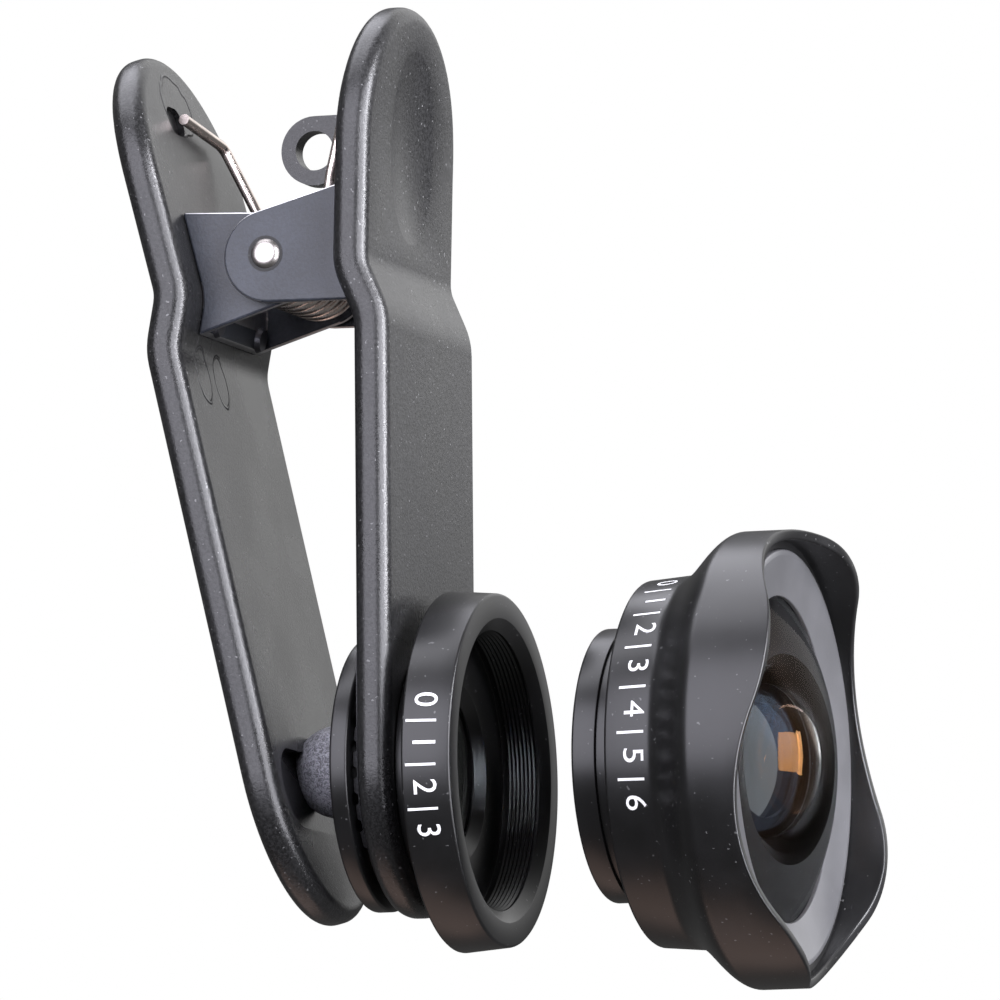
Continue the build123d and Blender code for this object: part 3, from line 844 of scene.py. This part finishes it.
# Wide barrel: it flares into a hood whose rim runs in four petals
hood = {
    "rear": 29.36,
    "rearRadius": 17.9,
    "rearEdge": 0.35,
    "taperStart": 33.6,
    "taperEnd": 39.36,
    "taperSteps": 24,
    "waistRadius": 18.25,
    "radius": 22.3,
    "wall": 1.0,
    "rimEdge": 0.22,
    "petalHigh": 46.61,
    "petalLow": 43.51,
    "petals": 4,
    "phase": 20.0,
    "tipRound": 13.5,
    "threadEnd": 42.61,
    "threadRadius": 20.5,
    "threadStart": 40.61,
    "frontBore": 16.7,
    "frontSeat": 38.21,
    "cavityRadius": 13.6,
    "cavityFloor": 32.06,
    "opening": 9.5,
    "lip": 0.85,
    "spigotRadius": 12.05,
    "rimBand": 0.05,       # behind the rim's rounding, from where the rim drops as a whole
    "wallFrom": (0.02, 0.1),   # past the thread's end and radius by this, a point is in the hood's wall
}


def petalRim(size, angle, radius):
    spacing = math.tau / size["petals"]
    bearing = math.radians(size["phase"])
    away = (angle - bearing + spacing / 2) % spacing - spacing / 2
    across = abs(radius * math.sin(away))
    half = size["radius"] * math.sin(spacing / 2)
    drop = size["petalHigh"] - size["petalLow"]
    tip = size["tipRound"]
    hollow = (half ** 2 + drop ** 2) / (2 * drop) - tip
    if across < half * hollow / (hollow + tip):
        return size["petalLow"] + hollow - math.sqrt(hollow ** 2 - across ** 2)
    return size["petalHigh"] - tip + math.sqrt(max(tip ** 2 - (half - across) ** 2, 0))


def cutPetals(obj, size):
    rimStart = size["petalHigh"] - size["rimEdge"] - size["rimBand"]
    wallX = size["threadEnd"] + size["wallFrom"][0]
    wallRadius = size["threadRadius"] + size["wallFrom"][1]
    for vertex in obj.data.vertices:
        x, y, z = (value / mm for value in vertex.co)
        radius = math.hypot(y, z)
        if x > wallX and radius > wallRadius:
            share = min(1, (x - size["threadEnd"]) / (rimStart - size["threadEnd"]))
            fall = size["petalHigh"] - petalRim(size, math.atan2(z, y), radius)
            vertex.co.x -= fall * share * mm
    obj.data.update()


def makeHood(size):
    wallRadius = size["radius"] - size["wall"]
    lipRear = size["cavityFloor"] - size["lip"]
    outline = [
        (size["petalHigh"], size["radius"], size["rimEdge"]),
        (size["petalHigh"], wallRadius, size["rimEdge"]),
        (size["threadEnd"], wallRadius, crisp), (size["threadEnd"], size["threadRadius"], crisp),
        (size["threadStart"], size["threadRadius"], 0), (size["threadStart"], size["frontBore"], 0),
        (size["frontSeat"], size["frontBore"], 0), (size["frontSeat"], size["cavityRadius"], crisp),
        (size["cavityFloor"], size["cavityRadius"], 0), (size["cavityFloor"], size["opening"], crisp),
        (lipRear, size["opening"], crisp), (lipRear, size["spigotRadius"], 0),
        (size["rear"], size["spigotRadius"], crisp), (size["rear"], size["rearRadius"], size["rearEdge"]),
    ]
    run = size["taperEnd"] - size["taperStart"]
    lift = size["radius"] - size["waistRadius"]
    for step in range(size["taperSteps"] + 1):
        share = step / size["taperSteps"]
        flare = share * share * (3 - 2 * share)
        outline.append((size["taperStart"] + run * share, size["waistRadius"] + lift * flare, 0))
    outline.append((size["threadEnd"], size["radius"], 0))
    obj = turnPiece("wideBarrel", roundCorners(outline), steps=turning["hoodSteps"])
    cutPetals(obj, size)
    return obj


finish(makeHood(hood), "anodised", "wide_barrel")

# Front ring: the bevelled threaded ring round the front lens
frontRing = {
    "rear": 40.66,
    "outer": 20.4,
    "face": 43.01,
    "faceWidth": 0.55,
    "faceEdge": 0.2,
    "bevelEdge": 0.08,
    "innerFace": 42.21,
    "innerEdge": 0.15,
    "clearRadius": 15.9,
    "domeEdge": 41.8,
    "bore": 16.7,
}


def makeFrontRing(size):
    outline = [
        (size["rear"], size["bore"], 0), (size["rear"], size["outer"], eased),
        (size["face"], size["outer"], size["faceEdge"]),
        (size["face"], size["outer"] - size["faceWidth"], size["bevelEdge"]),
        (size["innerFace"], size["clearRadius"], size["innerEdge"]),
        (size["domeEdge"], size["clearRadius"], 0), (size["domeEdge"], size["bore"], 0),
    ]
    return turnPiece("wideFrontRing", roundCorners(outline), steps=turning["fineSteps"])


finish(makeFrontRing(frontRing), "frontFace", "wide_front_ring")
print("turned metal pieces made")


# Lenses: ground edge and two polished faces, turned about the axis
def arcFace(start, end, radius, steps=24):
    if not radius:
        return [Vector(start), Vector(end)]
    centre = (start[0] if start[1] == 0 else end[0]) + radius
    first = math.atan2(start[1], start[0] - centre)
    last = math.atan2(end[1], end[0] - centre)
    if radius > 0:
        first, last = first % math.tau, last % math.tau
    reach = abs(radius)
    angles = [first + (last - first) * step / steps for step in range(steps + 1)]
    return [Vector((centre + reach * math.cos(angle), reach * math.sin(angle))) for angle in angles]


def sphereRadius(sag, radius):
    return (sag ** 2 + radius ** 2) / (2 * sag) if sag else 0


groundFrom = 0.99          # share of a lens's radius, past which a face belongs to its ground edge


def blackenEdges(obj, radius, rear=None):
    obj.data.materials.append(finishes["inner"])
    for poly in obj.data.polygons:
        away = math.hypot(poly.center.y, poly.center.z) / mm
        behind = rear is not None and poly.center.x / mm < rear
        poly.material_index = 1 if away > radius * groundFrom or behind else 0


# Plain lenses: name, finish, and the sag of the rear and front faces
lenses = {
    "macro_rear_lens": ("macroRearLens", "macroGlass", 0, 0.8),
    "macro_front_lens": ("macroFrontLens", "macroGlass", 0.4, 0.8),
    "wide_rear_lens": ("wideRearLens", "rearGlass", 0.9, 0),
    "wide_middle_lens": ("wideMiddleLens", "middleGlass", 0, 1.9),
}
for node, (name, finishName, rearSag, frontSag) in lenses.items():
    low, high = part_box(node)
    rear, front, radius = low[0] / mm, high[0] / mm, high[2] / mm
    points = arcFace((rear, 0), (rear + rearSag, radius), sphereRadius(rearSag, radius))
    points += arcFace((front - frontSag, radius), (front, 0), -sphereRadius(frontSag, radius))
    lens = turnPiece(name, points, closed=False, steps=turning["lensSteps"])
    finish(lens, finishName, node)
    blackenEdges(lens, radius)

# Front lens: a deep dome with a hollow back
dome = {
    "rear": 38.26,
    "rearBand": 0.01,      # past the rear, up to where a face is the flat rim round the hollow
    "radius": 16.6,
    "clearRadius": 15.9,
    "edge": 41.75,
    "top": 46.31,
    "domeRadius": 30.0,
    "hollowTop": 44.31,
    "hollowRadius": 9.3,
    "faceSteps": 32,
    "sharp": 30,
}


def makeDome(size):
    inset = size["hollowTop"] - size["hollowRadius"]
    hollowEdge = math.sqrt(size["hollowRadius"] ** 2 - (size["rear"] - inset) ** 2)
    top, edge, steps = (size["top"], 0), (size["edge"], size["clearRadius"]), size["faceSteps"]
    points = arcFace((size["hollowTop"], 0), (size["rear"], hollowEdge), -size["hollowRadius"], steps)
    points += [Vector((size["rear"], size["radius"])), Vector((size["edge"], size["radius"]))]
    points += arcFace(edge, top, -size["domeRadius"], steps)
    return turnPiece("wideFrontLens", points, closed=False, sharp=size["sharp"])


frontLens = finish(makeDome(dome), "domeGlass", "wide_front_lens")
blackenEdges(frontLens, dome["radius"], dome["rear"] + dome["rearBand"])
print("lenses made")

# Plain scales printed round the macro ring and the wide barrel
scales = {
    "macroScale": {"text": "0 | 1 | 2 | 3", "size": 3.3, "x": 10.0, "radius": 17.68, "start": 21.0,
                   "stretch": 1.0, "node": "macro_barrel", "lean": 0.084},
    "wideScale": {"text": "0 | 1 | 2 | 3 | 4 | 5 | 6", "size": 3.0, "x": 31.45, "radius": 18.07,
                  "start": 72.0, "stretch": 1.15, "node": "wide_barrel", "lean": -0.083},
}
printing = {
    "proud": 0.03,
    "curveSteps": 4,
    "splits": 2,           # how often each face is halved, so that it bends round
}


def makeScale(name, size):
    deselectAll()
    bpy.ops.object.text_add(location=(0, 0, 0))
    words = bpy.context.object
    words.name = name
    words.data.body = size["text"]
    words.data.size = size["size"]
    words.data.resolution_u = printing["curveSteps"]
    bpy.ops.object.convert(target='MESH')
    obj = bpy.context.object
    split = obj.modifiers.new("split", 'SUBSURF')
    split.subdivision_type = 'SIMPLE'
    split.levels = split.render_levels = printing["splits"]
    bpy.ops.object.modifier_apply(modifier=split.name)
    for vertex in obj.data.vertices:
        along, up = vertex.co.x * size["stretch"], vertex.co.y
        radius = size["radius"] + printing["proud"] - size["lean"] * up
        angle = math.radians(size["start"]) - along / size["radius"]
        spot = Vector((size["x"] + up, -radius * math.cos(angle), radius * math.sin(angle)))
        vertex.co = spot * mm
    bpy.ops.object.mode_set(mode='EDIT')
    bpy.ops.mesh.select_all(action='SELECT')
    bpy.ops.mesh.remove_doubles(threshold=meshes["join"] * mm)
    bpy.ops.object.mode_set(mode='OBJECT')
    paint(obj, "print")
    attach(obj, bodyOf(size["node"]))


for name, size in scales.items():
    makeScale(name, size)
print("scales printed")

# Studio: white to the camera, and a white backdrop in one direction that the far sides throw back.
# It has no floor, since the camera looks up from below and a floor would hide the object.
studio = {
    "ambientLow": 0.06,
    "ambientHigh": 0.10,
    "ambientFade": (-0.3, 0.8),        # sines of the heights between which the ambient light rises
    "backdrop": 1.0,
    "backdropAim": (0.25, 0.80, 0.55),
    "backdropFade": (0.84, 0.95),      # cosines of the angles at the backdrop's edge and where it is full
    "glossShare": 0.06,                # how much of the white behind shows in gloss, and through glass
    "glassShare": 0.15,
}


def makeStudio(settings):
    world = bpy.data.worlds.new("studio")
    scene.world = world
    s = Shader("studio", world)

    def towards(aim):
        sockets = {0: s.add('ShaderNodeTexCoord', out="Generated"), 1: aim}
        return s.add('ShaderNodeVectorMath', {"operation": 'DOT_PRODUCT'}, sockets, out="Value")

    seen = s.add('ShaderNodeLightPath', out="Is Camera Ray")
    height = s.ramp(towards((0, 0, 1)), *settings["ambientFade"])
    level = settings["ambientLow"] + height * (settings["ambientHigh"] - settings["ambientLow"])
    backdrop = s.ramp(towards(settings["backdropAim"]), *settings["backdropFade"])
    level = level + backdrop * settings["backdrop"]
    thrown = s.add('ShaderNodeLightPath', out="Is Glossy Ray") * settings["glossShare"]
    through = s.add('ShaderNodeLightPath', out="Is Transmission Ray") * settings["glassShare"]
    lit = seen.maths('MAXIMUM', seen, level + thrown + through)
    background = s.add('ShaderNodeBackground', {}, {"Color": (1, 1, 1, 1), "Strength": lit})
    s.add('ShaderNodeOutputWorld', {}, {"Surface": background})


# Soft boxes round the object, in metres: each one's direction, width and height, radiance and tint
softBoxes = {
    "rightFront": ((0.86, -0.50, 0.12), (0.9, 1.1), 9.0, (0.92, 0.92, 1.0)),
    "rightStrip": ((0.985, -0.06, 0.12), (0.20, 1.2), 34.0, (0.94, 0.94, 1.0)),
    "frontLeft": ((-0.28, -0.90, 0.32), (1.0, 1.0), 4.6, (0.90, 0.89, 1.0)),
    "overhead": ((-0.30, 0.10, 0.95), (1.1, 0.9), 4.0, (0.92, 0.92, 1.0)),
    "under": ((-0.30, 0.25, -0.92), (0.8, 0.6), 0.85, (1.0, 0.70, 0.60)),
}
softBoxDistance = 1.0
softBoxCentre = Vector((0.02, 0, 0.03))


def softBox(name, aim, size, radiance, colour):
    data = bpy.data.lights.new(name, 'AREA')
    data.shape = 'RECTANGLE'
    data.size, data.size_y = size
    data.energy = radiance * math.pi * size[0] * size[1]
    data.color = colour
    obj = bpy.data.objects.new(name, data)
    scene.collection.objects.link(obj)
    obj.location = softBoxCentre + Vector(aim).normalized() * softBoxDistance
    obj.rotation_euler = Vector(aim).to_track_quat('Z', 'Y').to_euler()


makeStudio(studio)
for name, settings in softBoxes.items():
    softBox(name, *settings)
print("studio lit")
